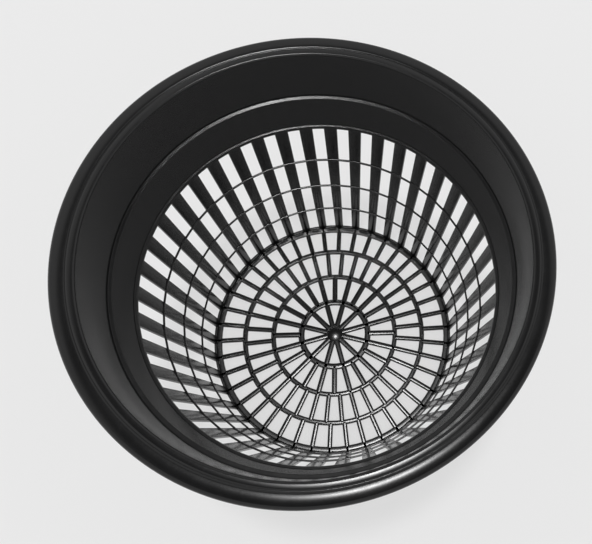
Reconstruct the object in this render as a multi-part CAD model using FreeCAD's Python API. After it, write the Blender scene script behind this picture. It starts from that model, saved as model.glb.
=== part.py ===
import FreeCAD, Part
import math
import os

# A hydroponic net pot, moulded in one piece: a round basket with a brim, a plain wall with two
# stacking ledges, a tapered wall of upright slots crossed by fine hoops, and a grille for a floor.
# Millimetres, +Z up, origin at the centre of the underside.

# ---------------------------------------------------------------- driving sizes

# pattern: everything repeats in six sectors
SECTORS = 6
SLOTS_PER_SECTOR = 7
FLOOR_WINDOWS_PER_SECTOR = (2, 4, 6, SLOTS_PER_SECTOR)

# floor
FLOOR_THICKNESS = 1.3
FLOOR_RADIUS = 53.3
FOOT_CHAMFER = 0.8
HUB_RADIUS = 5.5
FIRST_RING_RADIUS = 15.4
FIRST_RING_WIDTH = 2.8
RING_WIDTH = 2.2
FLOOR_MARGIN = 1.9
INNER_SPOKE_WIDTH = 2.4
OUTER_SPOKE_WIDTH = 2.1

# slotted wall
SLOT_WIDTH = 4.4
SLOT_SILL = 1.0
ROWS = 4
ROW_PITCH = 19.7
TOP_ROW_EXTRA = 1.1
SLOTTED_DRAFT = 6.85
SLOTTED_WALL = 1.1
HOOP_HEIGHT = 0.8
HOOP_DEPTH = 0.7
HOOP_PROUD = 0.3

# plain wall and its two ledges
SLIM_LEDGE_RISE = 1.4
SLIM_LEDGE_WIDTH = 0.8
LOWER_WALL_HEIGHT = 14.9
LOWER_DRAFT = 8.0
PLAIN_WALL = 1.3
STACKING_LEDGE_WIDTH = 1.3
UPPER_WALL_HEIGHT = 22.1
UPPER_DRAFT = 2.85

# brim
BEAD_WIDTH = 2.3
BEAD_CREST = 1.05
BEAD_RISE = 1.1
VALLEY_RISE = 0.7
FLANGE_WIDTH = 5.3
DOME_RISE = 1.3
SHOULDER_RADIUS = 1.4
FLANGE_THICKNESS = 1.5
SKIRT_DEPTH = 4.0
SKIRT_THICKNESS = 1.3

# ---------------------------------------------------------------- levels and radii

AXIS = FreeCAD.Vector(0, 0, 1)
CENTRE = FreeCAD.Vector(0, 0, 0)


def taper(height, draft):
    """How far a wall leans outward over a height."""
    return height * math.tan(math.radians(draft))


slot_count = SECTORS * SLOTS_PER_SECTOR
floor_top = FLOOR_THICKNESS
slot_bottom = floor_top + SLOT_SILL
slot_top = floor_top + ROWS * ROW_PITCH + TOP_ROW_EXTRA
slim_ledge_z = slot_top + SLIM_LEDGE_RISE
stacking_ledge_z = slim_ledge_z + LOWER_WALL_HEIGHT
mouth_z = stacking_ledge_z + UPPER_WALL_HEIGHT


def slotted_radius(z):
    """Distance from the axis to the inside face of a rib at a level."""
    return FLOOR_RADIUS + taper(z - floor_top, SLOTTED_DRAFT)


slotted_top_radius = slotted_radius(slim_ledge_z)
lower_wall_foot = slotted_top_radius + SLIM_LEDGE_WIDTH
lower_wall_head = lower_wall_foot + taper(LOWER_WALL_HEIGHT, LOWER_DRAFT)
upper_wall_foot = lower_wall_head + STACKING_LEDGE_WIDTH
mouth_radius = upper_wall_foot + taper(UPPER_WALL_HEIGHT, UPPER_DRAFT)
valley_radius = mouth_radius + BEAD_WIDTH
brim_radius = valley_radius + FLANGE_WIDTH

# ---------------------------------------------------------------- helpers


def at(radius, z):
    """A point of the section, in the XZ plane."""
    return FreeCAD.Vector(radius, 0, z)


def rounded(start, middle, end, chords):
    """Points along the arc through three points, so that a round stretch becomes narrow cones."""
    return Part.Arc(start, middle, end).toShape().discretize(chords + 1)


def revolve(points):
    """Turn a closed section into a ring."""
    face = Part.Face(Part.makePolygon(points + points[:1]))
    return face.revolve(CENTRE, AXIS, 360)


def turned(shape, angle):
    copy = shape.copy()
    copy.rotate(CENTRE, AXIS, angle)
    return copy


def pattern(shape, count):
    """Copies of a shape evenly round the axis, half a step off the sector lines."""
    return [turned(shape, 360.0 * (i + 0.5) / count) for i in range(count)]


def flat_sided(levels, first_angle):
    """Tapered solid with one flat per rib, through (distance to the flats, z) levels."""
    outlines = []
    for flat_distance, z in levels:
        corner = flat_distance / math.cos(math.pi / slot_count)
        angles = [math.radians(first_angle + 360.0 * i / slot_count) for i in range(slot_count)]
        outlines.append([FreeCAD.Vector(corner * math.cos(a), corner * math.sin(a), z) for a in angles])
    faces = [Part.Face(Part.makePolygon(end + end[:1])) for end in (outlines[0], outlines[-1])]
    for lower, upper in zip(outlines, outlines[1:]):
        for i in range(slot_count):
            side = [lower[i - 1], lower[i], upper[i], upper[i - 1], lower[i - 1]]
            faces.append(Part.Face(Part.makePolygon(side)))
    return Part.Solid(Part.Shell(faces))


# ---------------------------------------------------------------- plain wall and brim


def brim_points():
    """From the mouth over the bead, the valley, the dome and the shoulder to the underside."""
    mouth = at(mouth_radius, mouth_z)
    bead_crest = at(mouth_radius + BEAD_CREST, mouth_z + BEAD_RISE)
    valley = at(valley_radius, mouth_z + VALLEY_RISE)
    shoulder_start = at(brim_radius - SHOULDER_RADIUS, mouth_z + VALLEY_RISE)
    dome_crest = at((valley.x + shoulder_start.x) / 2, mouth_z + DOME_RISE)
    shoulder_end = at(brim_radius, shoulder_start.z - SHOULDER_RADIUS)
    lean = SHOULDER_RADIUS * math.sqrt(0.5)
    shoulder_middle = at(shoulder_start.x + lean, shoulder_end.z + lean)
    bead = rounded(mouth, bead_crest, valley, 3)
    dome = rounded(valley, dome_crest, shoulder_start, 3)
    shoulder = rounded(shoulder_start, shoulder_middle, shoulder_end, 2)
    skirt_foot_z = mouth_z + VALLEY_RISE - SKIRT_DEPTH
    under_z = mouth_z + VALLEY_RISE - FLANGE_THICKNESS
    skirt_inside = brim_radius - SKIRT_THICKNESS
    return (
        bead[:-1]
        + dome[:-1]
        + shoulder
        + [
            at(brim_radius, skirt_foot_z),
            at(skirt_inside, skirt_foot_z),
            at(skirt_inside, under_z),
            at(mouth_radius + PLAIN_WALL, under_z),
        ]
    )


def plain_wall_and_brim():
    """Ring above the slots; its lowest part runs into the head of the slotted wall."""
    slotted_middle = slotted_top_radius + SLOTTED_WALL / 2
    lower_step_z = slim_ledge_z - SLOTTED_WALL
    upper_step_z = stacking_ledge_z - PLAIN_WALL
    inside = [
        at(slotted_middle, lower_step_z),
        at(slotted_middle, slim_ledge_z),
        at(lower_wall_foot, slim_ledge_z),
        at(lower_wall_head, stacking_ledge_z),
        at(upper_wall_foot, stacking_ledge_z),
    ]
    outside = [
        at(upper_wall_foot + PLAIN_WALL, upper_step_z),
        at(lower_wall_head + PLAIN_WALL, upper_step_z),
        at(lower_wall_foot + PLAIN_WALL, lower_step_z),
    ]
    return revolve(inside + brim_points() + outside)


# ---------------------------------------------------------------- slotted wall and floor


def basket_shell():
    """Floor and slotted wall before the openings, with a flat for each rib."""
    rib_angle = 180.0 / slot_count
    foot = FLOOR_RADIUS + SLOTTED_WALL - taper(floor_top, SLOTTED_DRAFT)
    outside = flat_sided(
        [
            (foot - FOOT_CHAMFER, 0),
            (foot + taper(FOOT_CHAMFER, SLOTTED_DRAFT), FOOT_CHAMFER),
            (slotted_top_radius + SLOTTED_WALL, slim_ledge_z),
        ],
        rib_angle,
    )
    inside = flat_sided(
        [(FLOOR_RADIUS, floor_top), (slotted_top_radius, slim_ledge_z)],
        rib_angle,
    )
    return outside.cut(inside)


def slots():
    """Parallel-sided upright slots through the tapered wall; a rib stands on each sector line."""
    inner = FLOOR_RADIUS - HOOP_PROUD - 1.0
    outer = slotted_radius(slot_top) + SLOTTED_WALL + 1.0
    slot = Part.makeBox(outer - inner, SLOT_WIDTH, slot_top - slot_bottom)
    slot.translate(FreeCAD.Vector(inner, -SLOT_WIDTH / 2, slot_bottom))
    return pattern(slot, slot_count)


def hoop(z):
    """Fine hoop across the slots, straight between its corners on the ribs and a little proud."""
    low = z - HOOP_HEIGHT / 2
    high = z + HOOP_HEIGHT / 2
    inside = [(slotted_radius(low) - HOOP_PROUD, low), (slotted_radius(high) - HOOP_PROUD, high)]
    outside = [(radius + HOOP_DEPTH, level) for radius, level in inside]
    return flat_sided(outside, 0).cut(flat_sided(inside, 0))


def floor_window(inner, outer, spoke_width, count):
    """Window between two rings of the floor, with sides parallel to the spokes beside it."""

    def corner(radius, side):
        half = math.pi / count - math.asin(spoke_width / 2 / radius)
        return FreeCAD.Vector(radius * math.cos(half), side * radius * math.sin(half), 0)

    corners = [corner(inner, -1), corner(inner, 1), corner(outer, 1), corner(outer, -1)]
    face = Part.Face(Part.makePolygon(corners + corners[:1]))
    window = face.extrude(AXIS * (FLOOR_THICKNESS + 2))
    window.translate(AXIS * -1)
    return window


def floor_windows():
    """Four bands of windows between the hub, three rings and the foot of the wall."""
    wall_middle = FLOOR_RADIUS + SLOTTED_WALL / 2
    ring_step = (wall_middle - FIRST_RING_RADIUS) / 3
    rings = [FIRST_RING_RADIUS + i * ring_step for i in range(3)]
    starts = [HUB_RADIUS, rings[0] + FIRST_RING_WIDTH / 2]
    starts += [rings[1] + RING_WIDTH / 2, rings[2] + RING_WIDTH / 2]
    ends = [rings[0] - FIRST_RING_WIDTH / 2, rings[1] - RING_WIDTH / 2]
    ends += [rings[2] - RING_WIDTH / 2, FLOOR_RADIUS - FLOOR_MARGIN]
    spokes = [INNER_SPOKE_WIDTH, INNER_SPOKE_WIDTH, OUTER_SPOKE_WIDTH, OUTER_SPOKE_WIDTH]
    windows = []
    for start, end, spoke, per_sector in zip(starts, ends, spokes, FLOOR_WINDOWS_PER_SECTOR):
        count = SECTORS * per_sector
        windows += pattern(floor_window(start, end, spoke, count), count)
    return windows


# ---------------------------------------------------------------- the pot


def net_pot():
    basket = basket_shell().cut(Part.makeCompound(slots() + floor_windows()))
    hoops = [hoop(floor_top + row * ROW_PITCH) for row in range(1, ROWS)]
    return basket.fuse(hoops + [plain_wall_and_brim()]).removeSplitter()


os.makedirs("parts", exist_ok=True)
pot = net_pot()
pot.exportStep("parts/net_pot.step")
print("solids", len(pot.Solids), "valid", pot.isValid(), "volume", round(pot.Volume, 1))
print("brim diameter", round(2 * brim_radius, 2), "height", round(mouth_z + DOME_RISE, 2))
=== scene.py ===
import math
import bmesh
import bpy
from mathutils import Euler, Matrix, Vector


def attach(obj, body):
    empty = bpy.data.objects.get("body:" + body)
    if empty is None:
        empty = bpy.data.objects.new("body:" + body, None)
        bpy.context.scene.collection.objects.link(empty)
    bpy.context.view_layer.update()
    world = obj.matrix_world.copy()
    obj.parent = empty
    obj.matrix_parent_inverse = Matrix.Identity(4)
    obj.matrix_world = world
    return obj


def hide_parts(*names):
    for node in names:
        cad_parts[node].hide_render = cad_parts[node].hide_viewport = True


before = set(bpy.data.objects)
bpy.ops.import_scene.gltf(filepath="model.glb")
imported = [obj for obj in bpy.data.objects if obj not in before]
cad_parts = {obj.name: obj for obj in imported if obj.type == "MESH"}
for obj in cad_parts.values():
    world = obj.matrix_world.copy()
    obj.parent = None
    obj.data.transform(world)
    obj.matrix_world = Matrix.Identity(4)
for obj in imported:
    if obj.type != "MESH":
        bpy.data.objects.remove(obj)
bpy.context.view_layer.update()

# A net pot moulded in one piece of black plastic. Sizes are in millimetres; MM makes them metres.
MM = 0.001
AXIS = (0, 0, 1)

# pattern
RIBS = 42
FLOOR_SPOKES = (12, 24, 36, 42)

# floor grille
FLOOR_THICKNESS = 1.3
FLOOR_RADIUS = 53.3
FOOT_CHAMFER = 0.8
HUB_RADIUS = 5.5
BUTTON_RADIUS = 3.7
BUTTON_RISE = 0.4
FIRST_RING_RADIUS = 15.4
FIRST_RING_WIDTH = 2.8
RING_WIDTH = 2.2
FLOOR_MARGIN = 1.9
INNER_SPOKE_WIDTH = 2.4
OUTER_SPOKE_WIDTH = 2.1

# slotted wall
SLOT_WIDTH = 4.4
SLOT_SILL = 1.0
ROWS = 4
ROW_PITCH = 19.7
TOP_ROW_EXTRA = 1.1
SLOTTED_DRAFT = 6.85
SLOTTED_WALL = 1.1
HOOP_HEIGHT = 0.8
HOOP_DEPTH = 0.7
HOOP_PROUD = 0.3

# plain wall and its ledges
SLIM_LEDGE_RISE = 1.4
SLIM_LEDGE_WIDTH = 0.8
LOWER_WALL_HEIGHT = 14.9
LOWER_DRAFT = 8.0
PLAIN_WALL = 1.3
STACKING_LEDGE_WIDTH = 1.3
UPPER_WALL_HEIGHT = 22.1
UPPER_DRAFT = 2.85

# brim
LIP_RADIUS = 0.9
LIP_WIDTH = 2.65
GROOVE_FLANK = 0.5
GROOVE_DEPTH = 0.3
FLANGE_RISE = 1.0
FLANGE_WIDTH = 4.95
CROWN = 0.1
SHOULDER_RADIUS = 1.4
FLANGE_THICKNESS = 1.8
SKIRT_DEPTH = 4.3
SKIRT_THICKNESS = 1.3

# rounded edges, and how pieces of the moulding run into each other
WALL_ROUNDING = 0.22
HOOP_ROUNDING = 0.2
FOOT_ROUNDING = 0.3
GRILLE_ROUNDING = 0.55
RIB_OVERLAP = 0.4
HUB_INSET = 0.6
HUB_DROP = 0.35
BUTTON_DRAFT = 0.1

# facets round the pot and along the curves of its sections
BRIM_FACETS = 6 * RIBS
GRILLE_FACETS = 2 * RIBS
HUB_FACETS = 48
LIP_FACETS = 8
FLANGE_FACETS = 8
SHOULDER_FACETS = 7
DOME_FACETS = 16
SHARP_ANGLE = 40

# points closer than this, in millimetres, are one point or one height
WELD = 0.001
ON_CORNER = 0.02

# plastic
RESIN_COLOUR = (0.0040, 0.0040, 0.0042, 1)
DUST_COLOUR = (0.10, 0.10, 0.10, 1)
RESIN_IOR = 1.42
GRAIN_SCALE = 1500
SMEAR_SCALE = 60
DUST_SCALE = 400
GRAIN_STRENGTH = 0.05
GRAIN_HEIGHT = 0.02

# floor, room and lamp, in metres and watts
PAPER_COLOUR = (0.80, 0.80, 0.80, 1)
PAPER_GLOW_COLOUR = (0.86, 0.86, 0.86, 1)
PAPER_GLOW = 0.6
PAPER_ROUGHNESS = 0.9
FLOOR_HALF = 2.0
ROOM_LIGHT = 0.9
CEILING_LIGHT = 0.12
CEILING_STARTS = 58
CEILING_FULL = 65
LAMP_PLACE = (0.06, 0.09, 2.0)
LAMP_AIM = (0, 0, 0.06)
LAMP_SIZE = 0.18
LAMP_POWER = 11

# camera
CAMERA_PLACE = (-39.1, -64.5, 315.8)
CAMERA_TURN = (19.437, -5.615, -47.744)
CAMERA_LENS = 41.04
SENSOR_WIDTH = 36
SHIFT_ACROSS = -0.2526
SHIFT_UP = -0.0227


def lean(height, draft):
    """How far a wall of this draft angle leans out over a height."""
    return height * math.tan(math.radians(draft))


SLOT_BOTTOM = FLOOR_THICKNESS + SLOT_SILL
SLOT_TOP = FLOOR_THICKNESS + ROWS * ROW_PITCH + TOP_ROW_EXTRA
SLIM_LEDGE_Z = SLOT_TOP + SLIM_LEDGE_RISE
STACKING_LEDGE_Z = SLIM_LEDGE_Z + LOWER_WALL_HEIGHT
MOUTH_Z = STACKING_LEDGE_Z + UPPER_WALL_HEIGHT


def rib_radius(z):
    """Distance from the axis to a rib's inside face."""
    return FLOOR_RADIUS + lean(z - FLOOR_THICKNESS, SLOTTED_DRAFT)


LOWER_FOOT = rib_radius(SLIM_LEDGE_Z) + SLIM_LEDGE_WIDTH
LOWER_HEAD = LOWER_FOOT + lean(LOWER_WALL_HEIGHT, LOWER_DRAFT)
UPPER_FOOT = LOWER_HEAD + STACKING_LEDGE_WIDTH
MOUTH_RADIUS = UPPER_FOOT + lean(UPPER_WALL_HEIGHT, UPPER_DRAFT)
GROOVE_RADIUS = MOUTH_RADIUS + LIP_WIDTH
BRIM_RADIUS = GROOVE_RADIUS + FLANGE_WIDTH
FLANGE_Z = MOUTH_Z + FLANGE_RISE


# ---------------------------------------------------------------- mesh helpers


def arc(start, middle, end, steps):
    """Points (radius, z) along the circle through three points."""
    (ax, ay), (bx, by), (cx, cy) = start, middle, end
    d = 2 * (ax * (by - cy) + bx * (cy - ay) + cx * (ay - by))
    a2, b2, c2 = ax * ax + ay * ay, bx * bx + by * by, cx * cx + cy * cy
    ox = (a2 * (by - cy) + b2 * (cy - ay) + c2 * (ay - by)) / d
    oy = (a2 * (cx - bx) + b2 * (ax - cx) + c2 * (bx - ax)) / d
    radius = math.hypot(ax - ox, ay - oy)
    first = math.atan2(ay - oy, ax - ox)
    sweep = math.remainder(math.atan2(cy - oy, cx - ox) - first, 2 * math.pi)
    turns = [first + sweep * i / steps for i in range(steps + 1)]
    return [(ox + radius * math.cos(t), oy + radius * math.sin(t)) for t in turns]


def spin_section(section, steps, radius, corners, segments):
    """Ring from a closed section of (radius, z); the named corners of the section are rounded."""
    ring = bmesh.new()
    verts = [ring.verts.new((r * MM, 0, z * MM)) for r, z in section]
    edges = [ring.edges.new((verts[i - 1], verts[i])) for i in range(len(verts))]
    marks = [section[i] for i in corners]
    bmesh.ops.spin(ring, geom=verts + edges, axis=AXIS, cent=(0, 0, 0),
                   angle=2 * math.pi, steps=steps, use_merge=True)
    bmesh.ops.remove_doubles(ring, verts=ring.verts[:], dist=WELD * MM)
    bmesh.ops.recalc_face_normals(ring, faces=ring.faces[:])

    def at_mark(vert):
        r, z = math.hypot(vert.co.x, vert.co.y) / MM, vert.co.z / MM
        return any(abs(r - mr) < ON_CORNER and abs(z - mz) < ON_CORNER for mr, mz in marks)

    def goes_round(edge):
        one, other = (vert.co for vert in edge.verts)
        level = abs(one.z - other.z) < WELD * MM
        return level and abs(math.hypot(*one.xy) - math.hypot(*other.xy)) < WELD * MM

    chosen = [e for e in ring.edges
              if at_mark(e.verts[0]) and at_mark(e.verts[1]) and goes_round(e)]
    bmesh.ops.bevel(ring, geom=chosen, offset=radius * MM, segments=segments, profile=0.5,
                    affect="EDGES", material=-1)
    return ring


def repeat(piece, count):
    """Copies of a piece evenly round the axis."""
    whole = bmesh.new()
    mesh = bpy.data.meshes.new("copy")
    piece.to_mesh(mesh)
    for i in range(count):
        start = len(whole.verts)
        whole.from_mesh(mesh)
        whole.verts.ensure_lookup_table()
        bmesh.ops.rotate(whole, verts=whole.verts[start:], cent=(0, 0, 0),
                         matrix=Matrix.Rotation(2 * math.pi * i / count, 3, "Z"))
    bpy.data.meshes.remove(mesh)
    piece.free()
    return whole


def join(parts, name):
    """One mesh object from several bmeshes."""
    whole = bmesh.new()
    for part in parts:
        mesh = bpy.data.meshes.new("part")
        part.to_mesh(mesh)
        part.free()
        whole.from_mesh(mesh)
        bpy.data.meshes.remove(mesh)
    mesh = bpy.data.meshes.new(name)
    whole.to_mesh(mesh)
    whole.free()
    for polygon in mesh.polygons:
        polygon.use_smooth = True
    mesh.set_sharp_from_angle(angle=math.radians(SHARP_ANGLE))
    made = bpy.data.objects.new(name, mesh)
    bpy.context.scene.collection.objects.link(made)
    return made


# ---------------------------------------------------------------- brim and plain wall


def brim_and_wall():
    """Ring above the slots: head band, both ledges, plain wall, lip, groove, flange and skirt."""
    quarter = math.sqrt(0.5)
    lip_start = (MOUTH_RADIUS, FLANGE_Z - LIP_RADIUS)
    lip_end = (MOUTH_RADIUS + LIP_RADIUS, FLANGE_Z)
    lip_middle = (lip_end[0] - LIP_RADIUS * quarter, lip_start[1] + LIP_RADIUS * quarter)
    flange_start = (GROOVE_RADIUS + GROOVE_FLANK, FLANGE_Z)
    shoulder = (BRIM_RADIUS - SHOULDER_RADIUS, FLANGE_Z)
    crown = ((flange_start[0] + shoulder[0]) / 2, FLANGE_Z + CROWN)
    side = (BRIM_RADIUS, FLANGE_Z - SHOULDER_RADIUS)
    slant = SHOULDER_RADIUS * quarter
    skirt_foot = FLANGE_Z - SKIRT_DEPTH
    under = FLANGE_Z - FLANGE_THICKNESS
    section = [
        (rib_radius(SLOT_TOP), SLOT_TOP),
        (rib_radius(SLIM_LEDGE_Z), SLIM_LEDGE_Z),
        (LOWER_FOOT, SLIM_LEDGE_Z),
        (LOWER_HEAD, STACKING_LEDGE_Z),
        (UPPER_FOOT, STACKING_LEDGE_Z),
    ]
    ledges = [1, 2, 3, 4]
    section += arc(lip_start, lip_middle, lip_end, LIP_FACETS)
    groove = len(section)
    section += [(GROOVE_RADIUS - GROOVE_FLANK, FLANGE_Z), (GROOVE_RADIUS, FLANGE_Z - GROOVE_DEPTH)]
    section += arc(flange_start, crown, shoulder, FLANGE_FACETS)[:-1]
    section += arc(shoulder, (shoulder[0] + slant, side[1] + slant), side, SHOULDER_FACETS)
    skirt = len(section)
    section += [
        (BRIM_RADIUS, skirt_foot),
        (BRIM_RADIUS - SKIRT_THICKNESS, skirt_foot),
        (BRIM_RADIUS - SKIRT_THICKNESS, under),
        (MOUTH_RADIUS + PLAIN_WALL, under),
        (UPPER_FOOT + PLAIN_WALL, STACKING_LEDGE_Z - PLAIN_WALL),
        (LOWER_HEAD + PLAIN_WALL, STACKING_LEDGE_Z - PLAIN_WALL),
        (LOWER_FOOT + PLAIN_WALL, SLIM_LEDGE_Z - SLOTTED_WALL),
        (rib_radius(SLIM_LEDGE_Z - SLOTTED_WALL) + SLOTTED_WALL, SLIM_LEDGE_Z - SLOTTED_WALL),
        (rib_radius(SLOT_TOP) + SLOTTED_WALL, SLOT_TOP),
    ]
    rounded = ledges + [groove, groove + 1, groove + 2, skirt, skirt + 1, skirt + 2, skirt + 3]
    return spin_section(section, BRIM_FACETS, WALL_ROUNDING, rounded, 3)


# ---------------------------------------------------------------- slotted wall


def rib():
    """Tapered rib between two parallel-sided slots, made along X and stood up."""
    step = math.pi / RIBS

    def half(radius):
        return radius * math.tan(step) - SLOT_WIDTH / 2 / math.cos(step)

    low = SLOT_BOTTOM - RIB_OVERLAP
    high = SLOT_TOP + RIB_OVERLAP
    made = bmesh.new()
    bmesh.ops.create_cube(made, size=2.0)
    for vert in made.verts:
        z = high if vert.co.z > 0 else low
        radius = rib_radius(z) + (SLOTTED_WALL if vert.co.x > 0 else 0)
        vert.co = Vector((radius, half(radius) * (1 if vert.co.y > 0 else -1), z)) * MM
    upright = [e for e in made.edges if abs(e.verts[0].co.z - e.verts[1].co.z) > MM]
    bmesh.ops.bevel(made, geom=upright, offset=WALL_ROUNDING * MM, segments=2, profile=0.5,
                    affect="EDGES", material=-1)
    return made


def hoop(z):
    """Thin hoop that ties the ribs, a little proud of their inside faces."""
    low = z - HOOP_HEIGHT / 2
    high = z + HOOP_HEIGHT / 2
    section = [
        (rib_radius(low) - HOOP_PROUD, low),
        (rib_radius(low) - HOOP_PROUD + HOOP_DEPTH, low),
        (rib_radius(high) - HOOP_PROUD + HOOP_DEPTH, high),
        (rib_radius(high) - HOOP_PROUD, high),
    ]
    return spin_section(section, RIBS, HOOP_ROUNDING, (0, 1, 2, 3), 2)


# ---------------------------------------------------------------- floor grille


def foot_ring():
    """Ring where the floor turns up into the slotted wall, chamfered underneath."""
    outside = FLOOR_RADIUS + SLOTTED_WALL
    section = [
        (FLOOR_RADIUS - FLOOR_MARGIN, FLOOR_THICKNESS),
        (FLOOR_RADIUS - FLOOR_MARGIN, 0),
        (outside - FOOT_CHAMFER, 0),
        (outside, FOOT_CHAMFER),
        (rib_radius(SLOT_BOTTOM) + SLOTTED_WALL, SLOT_BOTTOM),
        (rib_radius(SLOT_BOTTOM), SLOT_BOTTOM),
        (FLOOR_RADIUS, FLOOR_THICKNESS),
    ]
    return spin_section(section, GRILLE_FACETS, FOOT_ROUNDING, (0, 5), 3)


def floor_ring(radius, width):
    """Flat ring of the grille with a rounded top."""
    section = [
        (radius - width / 2, FLOOR_THICKNESS),
        (radius - width / 2, 0),
        (radius + width / 2, 0),
        (radius + width / 2, FLOOR_THICKNESS),
    ]
    return spin_section(section, GRILLE_FACETS, GRILLE_ROUNDING, (0, 3), 4)


def spoke(inner, outer, width):
    """Straight spoke along X with its two top edges rounded."""
    made = bmesh.new()
    bmesh.ops.create_cube(made, size=2.0)
    for vert in made.verts:
        x = inner if vert.co.x < 0 else outer
        side = 1 if vert.co.y > 0 else -1
        z = FLOOR_THICKNESS if vert.co.z > 0 else 0
        vert.co = Vector((x, side * (width / 2), z)) * MM
    top = [e for e in made.edges
           if abs(e.verts[0].co.x - e.verts[1].co.x) > MM / 2
           and min(v.co.z for v in e.verts) > MM / 2]
    bmesh.ops.bevel(made, geom=top, offset=GRILLE_ROUNDING * MM, segments=4, profile=0.5,
                    affect="EDGES", material=-1)
    return made


def hub():
    """Solid middle of the floor with a low domed button on it."""
    disc = HUB_RADIUS - HUB_INSET
    low = FLOOR_THICKNESS - HUB_DROP
    section = [(0, 0), (disc, 0), (disc, low)]
    dome = arc((BUTTON_RADIUS, FLOOR_THICKNESS), (0, FLOOR_THICKNESS + BUTTON_RISE),
               (-BUTTON_RADIUS, FLOOR_THICKNESS), DOME_FACETS)[:DOME_FACETS // 2 + 1]
    section += [(BUTTON_RADIUS + BUTTON_DRAFT, low)] + dome
    middle = bmesh.new()
    verts = [middle.verts.new((r * MM, 0, z * MM)) for r, z in section]
    edges = [middle.edges.new(pair) for pair in zip(verts, verts[1:])]
    bmesh.ops.spin(middle, geom=verts + edges, axis=AXIS, cent=(0, 0, 0),
                   angle=2 * math.pi, steps=HUB_FACETS, use_merge=True)
    bmesh.ops.remove_doubles(middle, verts=middle.verts[:], dist=WELD * MM)
    bmesh.ops.recalc_face_normals(middle, faces=middle.faces[:])
    return middle


def floor_grille():
    """Foot ring, hub, three rings and four bands of spokes, more of them in each band outwards."""
    wall_middle = FLOOR_RADIUS + SLOTTED_WALL / 2
    step = (wall_middle - FIRST_RING_RADIUS) / 3
    rings = [FIRST_RING_RADIUS + i * step for i in range(3)]
    stops = [0] + rings + [FLOOR_RADIUS]
    parts = [foot_ring(), hub(), floor_ring(rings[0], FIRST_RING_WIDTH)]
    parts += [floor_ring(radius, RING_WIDTH) for radius in rings[1:]]
    widths = (INNER_SPOKE_WIDTH, INNER_SPOKE_WIDTH, OUTER_SPOKE_WIDTH, OUTER_SPOKE_WIDTH)
    for inner, outer, width, count in zip(stops, stops[1:], widths, FLOOR_SPOKES):
        parts.append(repeat(spoke(inner, outer, width), count))
    return parts


# ---------------------------------------------------------------- plastic


def black_plastic():
    """Black moulding resin: dark body, fine grain, faint smears and a little settled dust."""
    made = bpy.data.materials.new("black_moulded_plastic")
    made.use_nodes = True
    nodes, links = made.node_tree.nodes, made.node_tree.links
    shader = nodes["Principled BSDF"]
    shader.inputs["IOR"].default_value = RESIN_IOR
    place = nodes.new("ShaderNodeTexCoord")

    def noise(scale, detail, roughness=0.5):
        node = nodes.new("ShaderNodeTexNoise")
        node.inputs["Scale"].default_value = scale
        node.inputs["Detail"].default_value = detail
        node.inputs["Roughness"].default_value = roughness
        links.new(place.outputs["Object"], node.inputs["Vector"])
        return node.outputs["Fac"]

    def remap(value, low, high, new_low, new_high):
        node = nodes.new("ShaderNodeMapRange")
        for name, number in (("From Min", low), ("From Max", high),
                             ("To Min", new_low), ("To Max", new_high)):
            node.inputs[name].default_value = number
        links.new(value, node.inputs["Value"])
        return node.outputs["Result"]

    def add(one, other):
        node = nodes.new("ShaderNodeMath")
        node.operation = "ADD"
        links.new(one, node.inputs[0])
        links.new(other, node.inputs[1])
        return node.outputs["Value"]

    grain = noise(GRAIN_SCALE, 3)
    smear = noise(SMEAR_SCALE, 5, 0.6)
    rough = add(remap(smear, 0.35, 0.7, 0.16, 0.20), remap(grain, 0.3, 0.7, 0.0, 0.03))
    links.new(rough, shader.inputs["Roughness"])
    dust = remap(noise(DUST_SCALE, 8, 0.7), 0.60, 0.80, 0.0, 0.12)
    body = nodes.new("ShaderNodeMix")
    body.data_type = "RGBA"
    body.inputs["A"].default_value = RESIN_COLOUR
    body.inputs["B"].default_value = DUST_COLOUR
    links.new(dust, body.inputs["Factor"])
    links.new(body.outputs["Result"], shader.inputs["Base Color"])
    bump = nodes.new("ShaderNodeBump")
    bump.inputs["Strength"].default_value = GRAIN_STRENGTH
    bump.inputs["Distance"].default_value = GRAIN_HEIGHT * MM
    links.new(grain, bump.inputs["Height"])
    links.new(bump.outputs["Normal"], shader.inputs["Normal"])
    return made


plastic = black_plastic()
pot = join(
    [brim_and_wall(), repeat(rib(), RIBS)]
    + [hoop(FLOOR_THICKNESS + row * ROW_PITCH) for row in range(1, ROWS)]
    + floor_grille(),
    "net_pot_moulding",
)
pot.data.materials.append(plastic)
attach(pot, "root")
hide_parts("net_pot")
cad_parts["net_pot"].data.materials.clear()
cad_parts["net_pot"].data.materials.append(plastic)

# ---------------------------------------------------------------- floor, lamps and camera


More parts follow.
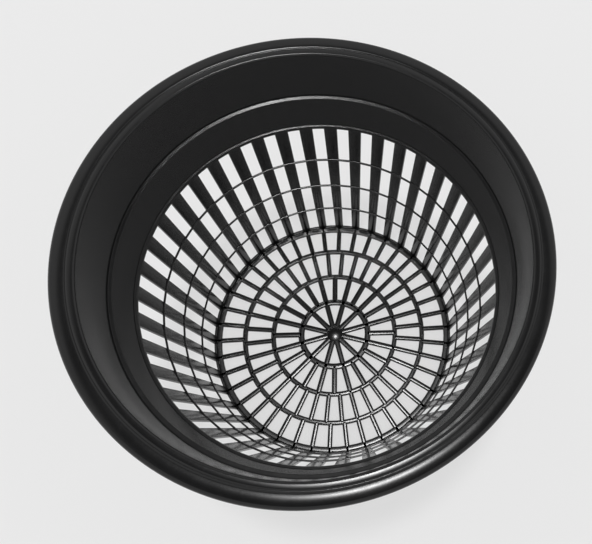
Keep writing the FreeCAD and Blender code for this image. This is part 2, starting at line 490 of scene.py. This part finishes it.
def paper():
    """Pale sheet: partly self-bright to the eye and in reflections, so it stays pale in the shade."""
    made = bpy.data.materials.new("pale_paper")
    made.use_nodes = True
    nodes, links = made.node_tree.nodes, made.node_tree.links
    shader = nodes["Principled BSDF"]
    shader.inputs["Base Color"].default_value = PAPER_COLOUR
    shader.inputs["Roughness"].default_value = PAPER_ROUGHNESS
    glow = nodes.new("ShaderNodeEmission")
    glow.inputs["Color"].default_value = PAPER_GLOW_COLOUR
    rays = nodes.new("ShaderNodeLightPath")
    seen = nodes.new("ShaderNodeMath")
    seen.operation = "MAXIMUM"
    links.new(rays.outputs["Is Camera Ray"], seen.inputs[0])
    links.new(rays.outputs["Is Glossy Ray"], seen.inputs[1])
    through = nodes.new("ShaderNodeMath")
    through.operation = "MAXIMUM"
    links.new(seen.outputs["Value"], through.inputs[0])
    links.new(rays.outputs["Is Transmission Ray"], through.inputs[1])
    share = nodes.new("ShaderNodeMath")
    share.operation = "MULTIPLY"
    share.inputs[1].default_value = PAPER_GLOW
    links.new(through.outputs["Value"], share.inputs[0])
    mix = nodes.new("ShaderNodeMixShader")
    links.new(share.outputs["Value"], mix.inputs["Fac"])
    links.new(shader.outputs["BSDF"], mix.inputs[1])
    links.new(glow.outputs["Emission"], mix.inputs[2])
    links.new(mix.outputs["Shader"], nodes["Material Output"].inputs["Surface"])
    return made


ground = bmesh.new()
bmesh.ops.create_grid(ground, x_segments=1, y_segments=1, size=FLOOR_HALF)
ground_mesh = bpy.data.meshes.new("ground")
ground.to_mesh(ground_mesh)
ground.free()
ground_mesh.materials.append(paper())
ground_object = bpy.data.objects.new("ground", ground_mesh)
bpy.context.scene.collection.objects.link(ground_object)


def soft_lamp(name, place, aim, size, power):
    """Round lamp turned towards a point."""
    data = bpy.data.lights.new(name, "AREA")
    data.shape = "DISK"
    data.size = size
    data.energy = power
    lamp = bpy.data.objects.new(name, data)
    lamp.location = place
    lamp.rotation_euler = (Vector(aim) - Vector(place)).to_track_quat("-Z", "Y").to_euler()
    bpy.context.scene.collection.objects.link(lamp)


soft_lamp("overhead", LAMP_PLACE, LAMP_AIM, LAMP_SIZE, LAMP_POWER)


def room():
    """Pale room with a dark ceiling over the object, from which the lamp hangs."""
    made = bpy.data.worlds.new("room")
    made.use_nodes = True
    nodes, links = made.node_tree.nodes, made.node_tree.links
    nodes["Background"].inputs["Color"].default_value = (1, 1, 1, 1)
    place = nodes.new("ShaderNodeTexCoord")
    split = nodes.new("ShaderNodeSeparateXYZ")
    links.new(place.outputs["Generated"], split.inputs["Vector"])
    ceiling = nodes.new("ShaderNodeMapRange")
    ceiling.interpolation_type = "SMOOTHSTEP"
    ceiling.inputs["From Min"].default_value = math.sin(math.radians(CEILING_STARTS))
    ceiling.inputs["From Max"].default_value = math.sin(math.radians(CEILING_FULL))
    ceiling.inputs["To Min"].default_value = ROOM_LIGHT
    ceiling.inputs["To Max"].default_value = CEILING_LIGHT
    links.new(split.outputs["Z"], ceiling.inputs["Value"])
    links.new(ceiling.outputs["Result"], nodes["Background"].inputs["Strength"])
    return made


bpy.context.scene.world = room()

camera_data = bpy.data.cameras.new("view")
camera_data.sensor_width = SENSOR_WIDTH
camera_data.lens = CAMERA_LENS
camera_data.shift_x = SHIFT_ACROSS
camera_data.shift_y = SHIFT_UP
camera = bpy.data.objects.new("view", camera_data)
camera.location = Vector(CAMERA_PLACE) * MM
camera.rotation_euler = Euler([math.radians(a) for a in CAMERA_TURN], "XYZ")
bpy.context.scene.collection.objects.link(camera)
bpy.context.scene.camera = camera
bpy.context.scene.view_settings.view_transform = "Standard"
